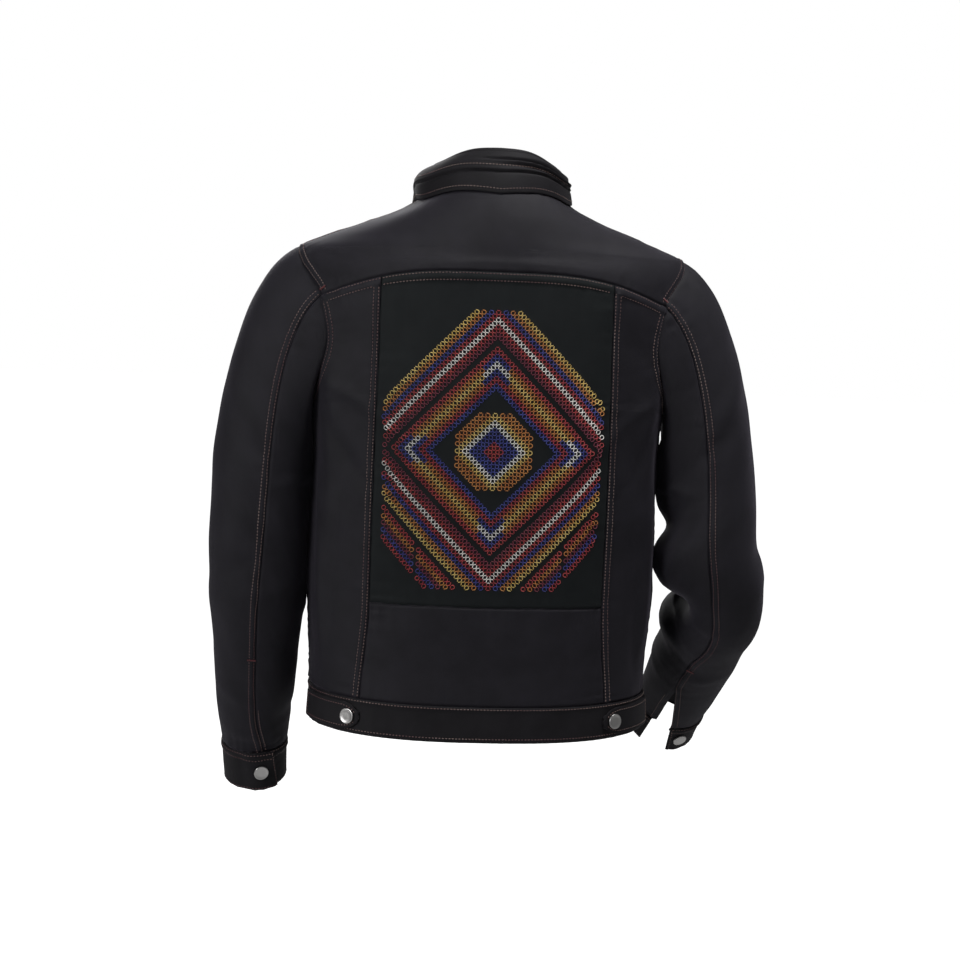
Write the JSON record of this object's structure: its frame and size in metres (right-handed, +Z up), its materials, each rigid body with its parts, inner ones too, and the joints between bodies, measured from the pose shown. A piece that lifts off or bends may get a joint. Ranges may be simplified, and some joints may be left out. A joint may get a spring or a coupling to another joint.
{
  "type": "trucker jacket",
  "caption": "Waist-length cloth jacket held in its worn shape, hollow with open neck, hem and cuffs; one sleeve straight, one bent; decorated back panel.",
  "frame": {"origin": "in the middle of the neck, level with the shoulders beside it, where the wearer's neck leaves the jacket", "axes": "+X to the wearer's left, +Y to the wearer's back, +Z up"},
  "size_m": [0.6461, 0.3096, 0.7518],
  "materials": {
    "cloth": "woven cotton, soft sheen",
    "band": "woven cotton, doubled",
    "panel": "plain woven, slightly smoother",
    "metal": "matte silver snap caps"
  },
  "bodies": {
    "root": {"collar": "band", "yoke_back": "cloth", "back_centre_upper": "panel", "back_centre_lower": "cloth", "back_side_left": "cloth", "back_side_right": "cloth", "front_yoke_left": "cloth", "front_yoke_right": "cloth", "front_left": "cloth", "front_right": "cloth", "placket_left": "band", "placket_right": "cloth", "front_snap_1": "metal", "front_snap_2": "metal", "front_snap_3": "metal", "front_snap_4": "metal", "front_snap_5": "metal", "front_snap_6": "metal", "front_snap_7": "metal", "waistband": "band", "waist_tab_left": "band", "waist_tab_right": "band", "tab_snap_left": "metal", "tab_snap_right": "metal", "sleeve_upper_left": "cloth", "sleeve_under_left": "cloth", "cuff_left": "band", "cuff_snap_left": "metal", "sleeve_upper_right": "cloth", "sleeve_under_right": "cloth", "cuff_right": "band", "cuff_snap_right": "metal"}
  },
  "joints": []
}
